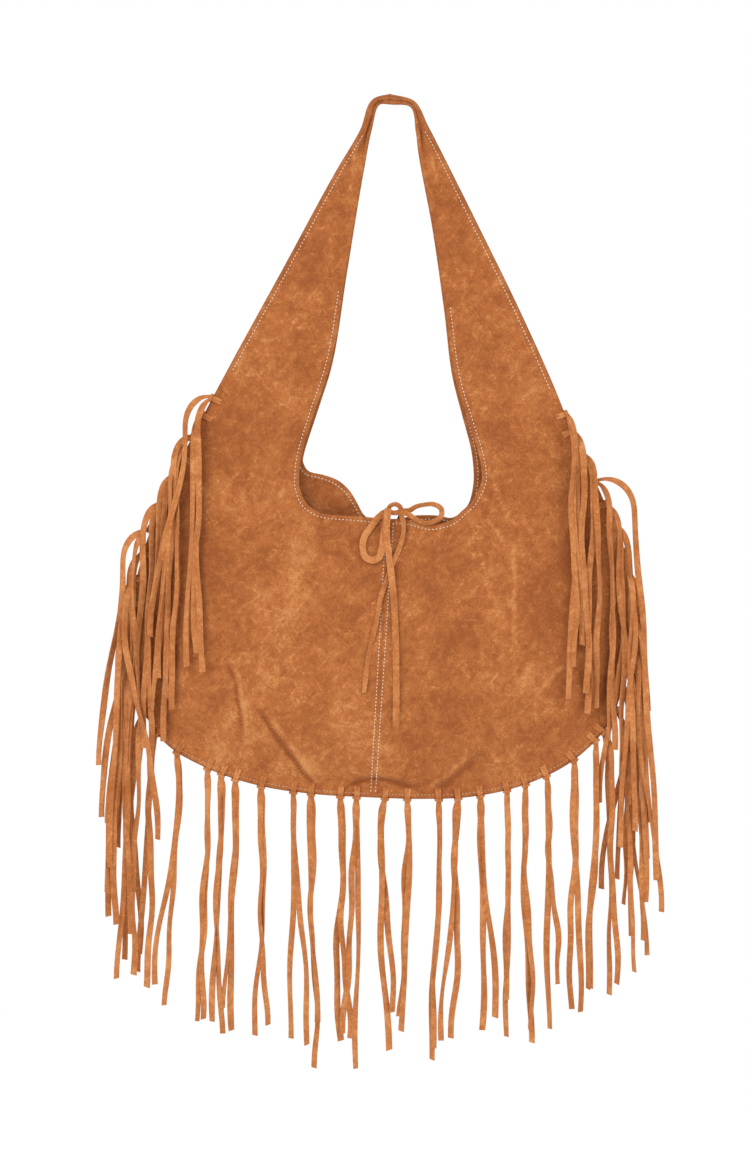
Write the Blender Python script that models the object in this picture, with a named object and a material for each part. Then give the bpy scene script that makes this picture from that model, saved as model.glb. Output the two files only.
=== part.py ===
"""Fringed suede bag, hanging from the crest of its handle, which is the origin. Front is -Y, up is +Z."""

import math

import bmesh
import bpy
import numpy as np

MM = 0.001

# Driving dimensions, millimetres
HANG = 382.0  # crest of the handle down to the middle of the mouth
BODY_HEIGHT = 255.0  # middle of the mouth down to the bottom edge
HALF_LEFT = 239.0  # widest point of the left half from the middle
HALF_RIGHT = 218.0
SEAM_LEAN = 15.6  # how far the middle seam drifts to the left by the bottom edge
SUEDE = 1.4
LAYER_GAP = 0.8  # between front and back where they are laced or sewn flat
MOUTH_OPEN = 15.0  # front to back at the middle of the mouth
BELLY = 52.0  # front to back at the fullest
FLAT_MARGIN = 12.0  # laced edge that stays flat
SWELL_REACH = 105.0  # from the flat margin to the full depth
SEAM_GAP = 0.5  # between the two halves of one face
LACE_WIDTH = 4.6
LACE_THICK = 1.2
CLEAR = 0.3  # air left between pieces that touch
HOLE_INSET = 6.5  # edge to the near side of a punched hole
HOLE_ACROSS = 3.6
HOLE_ALONG = 6.0
TURN_RADIUS = 3.4  # a lace turning down outside the edge
TAIL_LENGTH = 235.0
TIE_WIDTH = 6.0
TIE_THICK = 1.3
TIE_STEP = 6.0
BELLY_TOP = HANG + 0.45 * BODY_HEIGHT  # the swell is full from here down
STRAP_SPLIT = 205.0  # below this the two layers of a strap part
FULL = HANG + BODY_HEIGHT

# Outline of each half: outer edge and, across from it, inner edge, from the crest round to the
# middle seam. Widths are shares of the half's width and drops are shares of the full height.
LEFT_OUTLINE = (
    ((0.00, -0.014), (0.00, 0.000)),
    ((-0.06, -0.008), (-0.038, 0.000)),
    ((-0.11, 0.037), (-0.073, 0.037)),
    ((-0.20, 0.095), (-0.104, 0.095)),
    ((-0.41, 0.240), (-0.169, 0.240)),
    ((-0.62, 0.384), (-0.235, 0.383)),
    ((-0.712, 0.449), (-0.289, 0.443)),
    ((-0.80, 0.514), (-0.335, 0.500)),
    ((-0.885, 0.583), (-0.349, 0.532)),
    ((-0.955, 0.661), (-0.346, 0.557)),
    ((-0.993, 0.731), (-0.320, 0.578)),
    ((-1.00, 0.796), (-0.269, 0.591)),
    ((-0.958, 0.865), (-0.208, 0.595)),
    ((-0.866, 0.920), (-0.154, 0.596)),
    ((-0.70, 0.958), (-0.108, 0.597)),
    ((-0.50, 0.983), (-0.070, 0.598)),
    ((-0.29, 0.995), (-0.035, 0.599)),
    ((0.0, 1.0), (0.0, 0.600)),
)
RIGHT_OUTLINE = (
    ((0.00, -0.014), (0.00, 0.000)),
    ((0.10, -0.004), (0.089, 0.004)),
    ((0.156, 0.032), (0.112, 0.040)),
    ((0.207, 0.066), (0.122, 0.066)),
    ((0.376, 0.182), (0.186, 0.182)),
    ((0.540, 0.297), (0.236, 0.297)),
    ((0.692, 0.413), (0.283, 0.406)),
    ((0.760, 0.471), (0.329, 0.456)),
    ((0.844, 0.532), (0.372, 0.503)),
    ((0.920, 0.594), (0.388, 0.536)),
    ((0.975, 0.659), (0.376, 0.555)),
    ((1.00, 0.731), (0.342, 0.576)),
    ((0.991, 0.810), (0.304, 0.588)),
    ((0.920, 0.893), (0.261, 0.601)),
    ((0.764, 0.948), (0.211, 0.607)),
    ((0.570, 0.981), (0.156, 0.609)),
    ((0.338, 0.999), (0.093, 0.603)),
    ((0.127, 1.002), (0.042, 0.600)),
    ((0.0, 1.0), (0.0, 0.600)),
)

# The holes are punched by hand and unevenly: drops below the crest up the sides, offsets from
# the middle along the bottom
LEFT_DROPS = (274, 291, 311, 330, 348, 372, 396, 419, 442, 464, 486, 507, 527, 546, 563, 580)
RIGHT_DROPS = (289, 305, 328, 353, 373, 392, 412, 434, 455, 478, 500, 521, 541, 560, 578)
BOTTOM_OFFSETS_LEFT = (-196, -168, -155, -143, -119, -90, -74, -46, -31)
BOTTOM_OFFSETS_RIGHT = (-4, 17, 45, 63, 84, 108, 125, 144, 167, 187)

# How far from the middle each side tail ends
LEFT_ENDS = (172, 179, 186, 193, 200, 228, 264, 240, 262, 252, 262, 256, 247, 238, 228, 217)
RIGHT_ENDS = (172, 180, 184, 241, 206, 234, 213, 222, 244, 231, 239, 229, 220, 210, 203)
LEFT_OVER_FACE = 5  # the topmost laces, whose tails lie over the front and back faces
RIGHT_OVER_FACE = 3

STRAP_STEPS = 10  # rows of faces between the crest and the first hole
CREST_CROWDING = 1.7  # rows closer together where the strap bends over the crest
INNER_COLUMNS = 4  # columns of faces between the holes and the inner edge
TAIL_STEPS = 4
SQUEEZE = 0.72  # a lace narrows where it passes through its hole
SUEDE_COLOUR = (0.50, 0.19, 0.06, 1.0)
LACE_COLOUR = (0.40, 0.14, 0.045, 1.0)


def clear_scene():
    for old in list(bpy.data.objects):
        bpy.data.objects.remove(old, do_unlink=True)


def material(name, colour):
    made = bpy.data.materials.new(name)
    made.use_nodes = True
    shader = made.node_tree.nodes["Principled BSDF"]
    shader.inputs["Base Color"].default_value = colour
    shader.inputs["Roughness"].default_value = 0.9
    return made


def add_node(name, mesh_bm, colour):
    bmesh.ops.recalc_face_normals(mesh_bm, faces=mesh_bm.faces)
    mesh = bpy.data.meshes.new(name)
    mesh_bm.to_mesh(mesh)
    mesh_bm.free()
    node = bpy.data.objects.new(name, mesh)
    mesh.materials.append(material(name + "_suede", colour))
    bpy.context.scene.collection.objects.link(node)
    return node


class Curve:
    """A smooth curve through points, each at its own station."""

    def __init__(self, points, stations):
        self.points = np.array(points, float)
        self.stations = np.array(stations, float)
        self.slopes = np.gradient(self.points, self.stations, axis=0)

    def at(self, station):
        last = len(self.stations) - 2
        i = int(np.clip(np.searchsorted(self.stations, station) - 1, 0, last))
        span = self.stations[i + 1] - self.stations[i]
        t = (station - self.stations[i]) / span
        start = (2 * t**3 - 3 * t**2 + 1) * self.points[i]
        end = (3 * t**2 - 2 * t**3) * self.points[i + 1]
        leave = (t**3 - 2 * t**2 + t) * span * self.slopes[i]
        arrive = (t**3 - t**2) * span * self.slopes[i + 1]
        return start + end + leave + arrive


class Half:
    """Outer and inner edge of one half of the bag, by distance along the outer edge."""

    def __init__(self, outline, half_width, side):
        size = np.array((half_width, -FULL))
        outer = [np.array(pair[0]) * size for pair in outline]
        inner = [np.array(pair[1]) * size for pair in outline]
        outer[-1][0] = -SEAM_LEAN
        steps = [math.dist(a, b) for a, b in zip(outer, outer[1:])]
        stations = np.concatenate(([0], np.cumsum(steps)))
        for edge in (outer, inner):  # half the seam gap at the crest and down the middle seam
            edge[0][0] += side * SEAM_GAP / 2
            edge[-1][0] += side * SEAM_GAP / 2
        self.side = side
        self.length = stations[-1]
        self.outer = Curve(outer, stations)
        self.inner = Curve(inner, stations)

    def outer_run(self, count=240):
        return np.array([self.outer.at(s) for s in np.linspace(0, self.length, count)])

    def station_near(self, axis, value, first, last):
        """Where the outer edge reaches this x (axis 0) or this z (axis 1), between two stations."""
        tries = np.linspace(first, last, 400)
        return tries[np.argmin([abs(self.outer.at(s)[axis] - value) for s in tries])]


def smooth(value):
    value = min(max(value, 0.0), 1.0)
    return value * value * (3 - 2 * value)


class Body:
    """The swollen shape of the bag: how far each face stands from the middle plane."""

    def __init__(self, left, right):
        self.edge = np.concatenate((left.outer_run(), right.outer_run()[::-1]))
        self.low = self.edge[:, 1].min()

    def depth(self, x, z):
        """Middle plane to the inside of a face."""
        mouth = smooth((-z - STRAP_SPLIT) / (HANG - STRAP_SPLIT)) * MOUTH_OPEN / 2
        fall = min(max((-z - HANG) / (BELLY_TOP - HANG), 0.0), 1.0)
        belly = fall * (2 - fall) * (BELLY - MOUTH_OPEN) / 2
        inset = np.hypot(self.edge[:, 0] - x, self.edge[:, 1] - z).min()
        share = min(max((inset - FLAT_MARGIN) / SWELL_REACH, 0.0), 1.0)
        return LAYER_GAP / 2 + (mouth + belly) * share * (2 - share)

    def surface(self, x, z):
        """Middle plane to the outside of a face. Below the bag a lace hangs in the middle plane."""
        return self.depth(x, z) + SUEDE


def row_stations(half, holes):
    first = holes[0] - HOLE_ALONG / 2
    rows = [first * (i / STRAP_STEPS) ** CREST_CROWDING for i in range(STRAP_STEPS + 1)]
    rows.append(holes[0] + HOLE_ALONG / 2)
    for hole in holes[1:]:
        rows += [hole - HOLE_ALONG / 2, hole + HOLE_ALONG / 2]
    rows.append(half.length)
    return rows


def panel_grid(half, rows):
    """Points in the middle plane, rows along the outer edge and columns in to the inner edge."""
    grid = []
    for station in rows:
        outer = half.outer.at(station)
        inner = half.inner.at(station)
        width = math.dist(outer, inner)
        near = min(HOLE_INSET, width * 0.36)
        far = min(HOLE_INSET + HOLE_ACROSS, width * 0.54)
        columns = [0.0, near] + list(np.linspace(far, width, INNER_COLUMNS + 1))
        grid.append([outer + (inner - outer) * c / width for c in columns])
    return grid


def make_panel(name, half, holes, body, face_side):
    rows = row_stations(half, holes)
    grid = panel_grid(half, rows)
    mesh_bm = bmesh.new()
    skins = []
    for thickness in (0.0, SUEDE):
        skins.append(
            [
                [
                    mesh_bm.verts.new(
                        (x * MM, face_side * (body.depth(x, z) + thickness) * MM, z * MM)
                    )
                    for x, z in row
                ]
                for row in grid
            ]
        )
    hole_rows = {STRAP_STEPS + 2 * i for i in range(len(holes))}
    edges = {}
    for i in range(len(rows) - 1):
        for j in range(len(grid[0]) - 1):
            if j == 1 and i in hole_rows:
                continue
            corners = ((i, j), (i, j + 1), (i + 1, j + 1), (i + 1, j))
            for skin in skins:
                mesh_bm.faces.new([skin[a][b] for a, b in corners])
            for a, b in zip(corners, corners[1:] + corners[:1]):
                key = tuple(sorted((a, b)))
                edges[key] = edges.get(key, 0) + 1
    for (a, b), uses in edges.items():  # walls round the outline and round each hole
        if uses == 1:
            loop = [skins[0][a[0]][a[1]], skins[0][b[0]][b[1]]]
            loop += [skins[1][b[0]][b[1]], skins[1][a[0]][a[1]]]
            mesh_bm.faces.new(loop)
    return add_node(name, mesh_bm, SUEDE_COLOUR)


def unit(vector):
    return vector / np.linalg.norm(vector)


def make_strip(name, path, ways, widths, thick, colour):
    """A flat strip along a path, with its wide way and its width given at each point."""
    path = np.array(path, float)
    ways = np.array(ways, float)
    tangents = []
    shares = []
    for i in range(len(path)):
        back = unit(path[i] - path[max(i - 1, 0)]) if i else None
        ahead = unit(path[i + 1] - path[i]) if i < len(path) - 1 else None
        back = ahead if back is None else back
        ahead = back if ahead is None else ahead
        tangents.append(unit(back + ahead))
        shares.append(1 / max(math.sqrt((1 + float(back @ ahead)) / 2), 0.6))
    mesh_bm = bmesh.new()
    rings = []
    for point, along, wide, width, share in zip(path, tangents, ways, widths, shares):
        wide = unit(wide - along * (wide @ along))
        normal = unit(np.cross(along, wide))
        fold = share if abs(normal[1]) < 0.95 else 1.0
        ring = []
        for a, b in ((-1, -1), (1, -1), (1, 1), (-1, 1)):
            corner = point + wide * a * width / 2 + normal * b * thick * fold / 2
            ring.append(mesh_bm.verts.new(tuple(corner * MM)))
        rings.append(ring)
    for one, two in zip(rings, rings[1:]):
        for k in range(4):
            mesh_bm.faces.new((one[k], one[(k + 1) % 4], two[(k + 1) % 4], two[k]))
    mesh_bm.faces.new(rings[0])
    mesh_bm.faces.new(rings[-1])
    return add_node(name, mesh_bm, colour)


def lace_half(half, station, body, face_side, reach, drop, layer, over_face):
    """One run and its tail, from the hole out over the edge and down: points and wide ways."""
    before = half.outer.at(station - 3)
    after = half.outer.at(station + 3)
    tangent = unit(after - before)
    out = np.array((-tangent[1], tangent[0]))
    edge = half.outer.at(station)
    line = unit(half.inner.at(station) - edge)
    if out @ line > 0:
        out = -out
    hole = edge + line * (HOLE_INSET + HOLE_ACROSS / 2)
    start = hole + out * ((edge - hole) @ out + 1.0)
    flat = [hole, start]
    down = np.array((0.0, -1.0))
    angle = math.acos(float(np.clip(out @ down, -1, 1)))
    turn_side = math.copysign(1.0, out[0] * down[1] - out[1] * down[0])
    centre = start + TURN_RADIUS * turn_side * np.array((-out[1], out[0]))
    if angle > math.radians(12):
        count = max(2, math.ceil(angle / math.radians(55)))
        arm = start - centre
        for k in range(1, count + 1):
            a = turn_side * angle * k / count
            spun = (
                arm[0] * math.cos(a) - arm[1] * math.sin(a),
                arm[0] * math.sin(a) + arm[1] * math.cos(a),
            )
            flat.append(centre + np.array(spun))
    bend = flat[-1]
    for k in range(1, TAIL_STEPS + 1):
        t = k / TAIL_STEPS
        flat.append(bend + np.array((reach * smooth(t), -drop * t)))
    close = CLEAR + LACE_THICK / 2
    offsets = []
    stand = LAYER_GAP / 2 + SUEDE
    for k, (x, z) in enumerate(flat):
        if over_face:
            stand = max(body.surface(x, z), stand)
        beyond = 0 if k < 2 else 1
        offsets.append(stand + close + beyond * layer * (LACE_THICK + CLEAR))
    points = [np.array((x, face_side * y, z)) for (x, z), y in zip(flat, offsets)]
    ways = []
    for k in range(len(flat)):
        run = unit(flat[min(k + 1, len(flat) - 1)] - flat[max(k - 1, 0)])
        ways.append(np.array((-run[1], 0.0, run[0])))
    return points, ways


def make_lace(name, half, station, body, tails, layer, over_face):
    """A strip through its hole, with the sideways drift and the drop of its front and back tails."""
    front_points, front_ways = lace_half(half, station, body, -1, *tails[0], layer, over_face)
    back_points, back_ways = lace_half(half, station, body, 1, *tails[1], layer, over_face)
    path = front_points[::-1] + back_points
    ways = front_ways[::-1] + back_ways
    widths = [LACE_WIDTH] * len(path)
    hole = len(front_points)
    widths[hole - 1] = widths[hole] = LACE_WIDTH * SQUEEZE
    return make_strip(name, path, ways, widths, LACE_THICK, LACE_COLOUR)


def make_tie(name, plan, body):
    """One half of the bow. The plan gives x and z from the middle of the mouth and the height
    above the front face; a fourth value, where there is one, is a y of its own inside the bag."""
    rough = []
    for x, z, lift, *own in plan:
        if own:
            lift = -own[0] - body.surface(x, z - HANG)
        rough.append((x, lift, z - HANG))
    rough = np.array(rough)
    steps = np.concatenate(([0], np.cumsum(np.linalg.norm(np.diff(rough, axis=0), axis=1))))
    curve = Curve(rough, steps)
    path = [curve.at(s) for s in np.linspace(0, steps[-1], int(steps[-1] / TIE_STEP))]
    path = [np.array((x, -body.surface(x, z) - lift, z)) for x, lift, z in path]
    ways = []
    way = np.array((1.0, 0.0, 0.0))
    for k in range(len(path)):
        run = path[min(k + 1, len(path) - 1)] - path[max(k - 1, 0)]
        level = np.array((run[0], 0.0, run[2]))
        if np.linalg.norm(level) > 0.6 * np.linalg.norm(run):
            turned = unit(np.array((-level[2], 0.0, level[0])))
            way = turned if turned @ way > -0.2 else -turned
        ways.append(way)
    return make_strip(name, path, ways, [TIE_WIDTH] * len(path), TIE_THICK, LACE_COLOUR)


def lace_stations(half, drops, offsets):
    side_end = half.station_near(0, offsets[0], half.length * 0.72, half.length)
    sides = [half.station_near(1, -drop, 150, side_end) for drop in drops]
    bottoms = [half.station_near(0, x, half.length * 0.72, half.length) for x in offsets]
    return sides + bottoms


def make_side_laces(side_name, half, stations, body, ends, over_face):
    """The laces up one side. Each tail lies over those of the laces below it."""
    count = len(stations)
    for k, station in enumerate(stations):
        reach = half.side * ends[k] - half.outer.at(station)[0]
        sway = half.side * 3.0 * math.sin(2.3 * k)
        drop = TAIL_LENGTH * (1 + 0.05 * math.sin(1.9 * k))
        tails = ((reach + sway, drop), (reach - sway, drop * (0.93 + 0.05 * math.cos(1.3 * k))))
        over = k < over_face
        layer = 1.4 * (over_face - k) if over else count - k
        make_lace(f"fringe_{side_name}_{k + 1:02d}", half, station, body, tails, layer, over)


def make_bottom_laces(half, stations, body, first):
    for k, station in enumerate(stations):
        order = first + k
        lean = 5.0 * math.sin(2.1 * order)
        drop = TAIL_LENGTH * (1 + 0.06 * math.sin(1.7 * order))
        tails = ((lean, drop), (-0.6 * lean, drop * (0.94 + 0.04 * math.cos(2.6 * order))))
        make_lace(f"fringe_bottom_{order:02d}", half, station, body, tails, 0, False)


def main():
    clear_scene()
    left = Half(LEFT_OUTLINE, HALF_LEFT, -1)
    right = Half(RIGHT_OUTLINE, HALF_RIGHT, 1)
    body = Body(left, right)
    left_holes = lace_stations(left, LEFT_DROPS, BOTTOM_OFFSETS_LEFT)
    right_holes = lace_stations(right, RIGHT_DROPS, BOTTOM_OFFSETS_RIGHT[::-1])
    for face, face_side in (("front", -1), ("back", 1)):
        make_panel(face + "_left_panel", left, left_holes, body, face_side)
        make_panel(face + "_right_panel", right, right_holes, body, face_side)
    left_side = left_holes[: len(LEFT_DROPS)]
    right_side = right_holes[: len(RIGHT_DROPS)]
    make_side_laces("left", left, left_side, body, LEFT_ENDS, LEFT_OVER_FACE)
    make_side_laces("right", right, right_side, body, RIGHT_ENDS, RIGHT_OVER_FACE)
    make_bottom_laces(left, left_holes[len(LEFT_DROPS) :], body, 1)
    first_right = 1 + len(BOTTOM_OFFSETS_LEFT)
    make_bottom_laces(right, right_holes[len(RIGHT_DROPS) :][::-1], body, first_right)

    inside = MOUTH_OPEN / 2 - CLEAR - TIE_THICK / 2
    front_tie = (
        (2, -14, 0, -inside),
        (2, 2, 0, -inside),
        (1, 7, 1.6),
        (-3, 2, 2.8),
        (-16, -11, 2.8),
        (-25, -24, 3.0),
        (-21, -34, 3.6),
        (-12, -35, 4.4),
        (-8, -20, 5.4),
        (-2, 4, 6.6),
        (1, 8, 8.2),
        (1, 0, 8.6),
        (1, -60, 4.2),
        (3, -120, 2.6),
        (5, -193, 2.6),
    )
    back_tie = (
        (8, -14, 0, inside - 1),
        (8, 2, 0, inside - 2),
        (9, 12, 0, 0),
        (12, 9, 1.0),
        (20, 8, 1.0),
        (31, 11, 1.6),
        (44, 10, 2.4),
        (46, 4, 3.2),
        (36, -3, 4.0),
        (22, -1, 5.0),
        (11, -2, 5.6),
        (11, -16, 4.0),
        (5, -40, 1.0),
        (-7, -65, 1.0),
        (-14, -100, 1.0),
        (-24, -159, 1.0),
    )
    make_tie("front_tie_lace", front_tie, body)
    make_tie("back_tie_lace", back_tie, body)


main()
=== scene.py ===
import math

import bmesh
import bpy
import numpy as np
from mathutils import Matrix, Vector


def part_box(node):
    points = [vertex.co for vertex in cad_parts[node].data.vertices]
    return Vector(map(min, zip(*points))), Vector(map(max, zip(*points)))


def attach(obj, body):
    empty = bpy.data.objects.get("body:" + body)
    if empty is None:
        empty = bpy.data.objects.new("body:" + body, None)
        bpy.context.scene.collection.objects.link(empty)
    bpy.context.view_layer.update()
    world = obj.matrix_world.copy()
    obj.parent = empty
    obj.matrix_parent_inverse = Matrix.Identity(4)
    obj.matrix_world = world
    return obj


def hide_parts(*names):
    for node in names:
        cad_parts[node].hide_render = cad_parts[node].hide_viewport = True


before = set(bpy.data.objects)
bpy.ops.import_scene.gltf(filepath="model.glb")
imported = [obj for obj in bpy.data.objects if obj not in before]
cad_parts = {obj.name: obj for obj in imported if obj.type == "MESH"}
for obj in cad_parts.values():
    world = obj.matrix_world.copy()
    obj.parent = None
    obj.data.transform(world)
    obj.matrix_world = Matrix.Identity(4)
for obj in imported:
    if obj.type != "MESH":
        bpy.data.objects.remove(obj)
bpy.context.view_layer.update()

mm = 0.001
draws = np.random.default_rng(7)  # every wander in the fringe comes from here, in this order

# The bag hangs from the crest of its handle, which is the origin: x right, z up, front towards -y.
# Shapes are worked out in millimetres and turned to metres as each mesh is made.
leftLow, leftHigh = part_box("front_left_panel")
rightLow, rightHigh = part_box("front_right_panel")
halfLeft = -leftLow[0] / mm
halfRight = rightHigh[0] / mm
fullDrop = -leftLow[2] / mm
faceDepth = -leftLow[1] / mm  # middle plane to the outside of the belly

bag = {
    "suede": 1.4,  # leather thickness
    "layerGap": 0.8,  # between front and back where they are laced or sewn
    "mouthOpen": 15.0,  # front to back at the mouth
    "mouthShare": 0.5997,  # of the full drop, crest to mouth
    "flatMargin": 12.0,  # laced edge that stays flat
    "swellReach": 105.0,  # from there to the full depth
    "strapSplit": 205.0,  # the two layers of a strap part below this
    "seamLean": 15.6,  # drift of the middle seam by the bottom edge
    "seamGap": 0.3,
    "backLap": 0.9,  # the back is cut this much larger all round
    "sag": 1.3,  # slow waves in the leather
}
hang = bag["mouthShare"] * fullDrop
bellyTop = hang + 0.45 * (fullDrop - hang)
bellyFull = faceDepth - bag["suede"] - bag["layerGap"] / 2
print("frame loaded, drop", round(fullDrop), "mm, depth", round(faceDepth, 1), "mm")


# Outer edge and, across from it, the inner edge of the front and of the back, from the crest round
# to the middle seam. Widths are shares of the half's width and drops are shares of the full drop.
leftCut = (
    ((0.00, -0.014), (0.00, 0.000), (0.00, 0.000)),
    ((-0.06, -0.008), (-0.038, 0.000), (-0.038, 0.000)),
    ((-0.11, 0.037), (-0.073, 0.037), (-0.071, 0.037)),
    ((-0.20, 0.095), (-0.104, 0.095), (-0.101, 0.095)),
    ((-0.41, 0.240), (-0.169, 0.240), (-0.165, 0.240)),
    ((-0.62, 0.384), (-0.235, 0.383), (-0.228, 0.383)),
    ((-0.712, 0.449), (-0.289, 0.443), (-0.270, 0.433)),
    ((-0.80, 0.514), (-0.335, 0.500), (-0.312, 0.480)),
    ((-0.885, 0.583), (-0.349, 0.532), (-0.332, 0.505)),
    ((-0.955, 0.661), (-0.346, 0.557), (-0.334, 0.519)),
    ((-0.993, 0.731), (-0.320, 0.578), (-0.310, 0.531)),
    ((-1.00, 0.796), (-0.269, 0.591), (-0.256, 0.536)),
    ((-0.958, 0.865), (-0.208, 0.595), (-0.200, 0.544)),
    ((-0.866, 0.920), (-0.154, 0.596), (-0.160, 0.557)),
    ((-0.70, 0.958), (-0.108, 0.597), (-0.132, 0.573)),
    ((-0.50, 0.983), (-0.070, 0.598), (-0.100, 0.594)),
    ((-0.29, 0.995), (-0.035, 0.599), (-0.055, 0.603)),
    ((0.0, 1.0), (0.0, 0.600), (0.0, 0.602)),
)
rightCut = (
    ((0.00, -0.014), (0.00, 0.000), (0.00, 0.000)),
    ((0.10, -0.004), (0.089, 0.004), (0.087, 0.004)),
    ((0.156, 0.032), (0.112, 0.040), (0.110, 0.040)),
    ((0.207, 0.066), (0.122, 0.066), (0.119, 0.066)),
    ((0.376, 0.182), (0.186, 0.182), (0.181, 0.182)),
    ((0.540, 0.297), (0.236, 0.297), (0.229, 0.297)),
    ((0.692, 0.413), (0.283, 0.406), (0.268, 0.400)),
    ((0.760, 0.471), (0.329, 0.456), (0.306, 0.450)),
    ((0.844, 0.532), (0.372, 0.503), (0.342, 0.497)),
    ((0.920, 0.594), (0.388, 0.536), (0.354, 0.530)),
    ((0.975, 0.659), (0.376, 0.555), (0.352, 0.551)),
    ((1.00, 0.731), (0.342, 0.576), (0.336, 0.575)),
    ((0.991, 0.810), (0.304, 0.588), (0.300, 0.590)),
    ((0.920, 0.893), (0.261, 0.601), (0.257, 0.598)),
    ((0.764, 0.948), (0.211, 0.607), (0.208, 0.595)),
    ((0.570, 0.981), (0.156, 0.609), (0.156, 0.594)),
    ((0.338, 0.999), (0.093, 0.603), (0.096, 0.595)),
    ((0.127, 1.002), (0.042, 0.600), (0.042, 0.599)),
    ((0.0, 1.0), (0.0, 0.600), (0.0, 0.601)),
)


def ease(value):
    value = np.clip(value, 0.0, 1.0)
    return value * value * (3 - 2 * value)


def unit(vectors):
    return vectors / np.maximum(np.linalg.norm(vectors, axis=-1, keepdims=True), 1e-9)


def runLengths(points):
    steps = np.linalg.norm(np.diff(points, axis=0), axis=1)
    return np.concatenate(([0.0], np.cumsum(steps)))


# A smooth curve through points, read at any number of stations at once
def smoothCurve(points, stations=None):
    points = np.array(points, float)
    stations = runLengths(points) if stations is None else np.array(stations, float)
    slopes = np.gradient(points, stations, axis=0)

    def at(wanted):
        wanted = np.atleast_1d(np.asarray(wanted, float))
        i = np.clip(np.searchsorted(stations, wanted) - 1, 0, len(stations) - 2)
        span = (stations[i + 1] - stations[i])[:, None]
        t = (wanted - stations[i])[:, None] / span
        start = (2 * t**3 - 3 * t**2 + 1) * points[i]
        end = (3 * t**2 - 2 * t**3) * points[i + 1]
        leave = (t**3 - 2 * t**2 + t) * span * slopes[i]
        arrive = (t**3 - t**2) * span * slopes[i + 1]
        return start + end + leave + arrive

    return at, stations[-1]


def sampled(points, spacing):
    at, length = smoothCurve(points)
    return at(np.linspace(0, length, max(int(length / spacing), 2) + 1))


def makeHalf(cut, halfWidth, side):
    size = np.array((halfWidth, -fullDrop))
    edges = [np.array([row[k] for row in cut]) * size for k in range(3)]
    edges[0][-1][0] = -bag["seamLean"]
    stations = runLengths(edges[0])
    for edge in edges:  # half the gap of the middle seam
        edge[-1][0] += side * bag["seamGap"] / 2
    half = {"side": side, "length": stations[-1]}
    for name, edge in zip(("outer", "front", "back"), edges):
        half[name] = smoothCurve(edge, stations)[0]
    return half


left = makeHalf(leftCut, halfLeft, -1)
right = makeHalf(rightCut, halfRight, 1)
outline = np.concatenate(
    [
        left["outer"](np.linspace(0, left["length"], 640)),
        right["outer"](np.linspace(right["length"], 0, 640)),
    ]
)


def edgeDistance(x, z):
    points = np.stack((x.ravel(), z.ravel()), axis=1)
    found = np.empty(len(points))
    for first in range(0, len(points), 2000):
        part = points[first : first + 2000, None, :] - outline[None, :, :]
        found[first : first + 2000] = np.sqrt((part**2).sum(axis=2).min(axis=1))
    return found.reshape(x.shape)


def insideOutline(x, z):
    inside = np.zeros(x.shape, bool)
    for (ax, az), (bx, bz) in zip(outline, np.roll(outline, -1, axis=0)):
        if az != bz:
            crossed = (az > z) != (bz > z)
            inside ^= crossed & (x < (bx - ax) * (z - az) / (bz - az) + ax)
    return inside


# Middle plane to the inside of a face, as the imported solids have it
def bodyDepth(x, z, inset):
    mouth = ease((-z - bag["strapSplit"]) / (hang - bag["strapSplit"])) * bag["mouthOpen"] / 2
    fall = np.clip((-z - hang) / (bellyTop - hang), 0, 1)
    belly = fall * (2 - fall) * (bellyFull - bag["mouthOpen"] / 2)
    share = np.clip((inset - bag["flatMargin"]) / bag["swellReach"], 0, 1)
    return bag["layerGap"] / 2 + (mouth + belly) * share * (2 - share)


# Slow random waves of about one length, the same each run
def slowWaves(x, z, length, seed):
    rolls = np.random.default_rng(seed)
    total = np.zeros(np.shape(x))
    for _ in range(9):
        angle = rolls.uniform(0, math.tau)
        pace = math.tau / (length * rolls.uniform(0.7, 1.6))
        phase = rolls.uniform(0, math.tau)
        total += np.sin((x * math.cos(angle) + z * math.sin(angle)) * pace + phase)
    return total / 3


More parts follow.
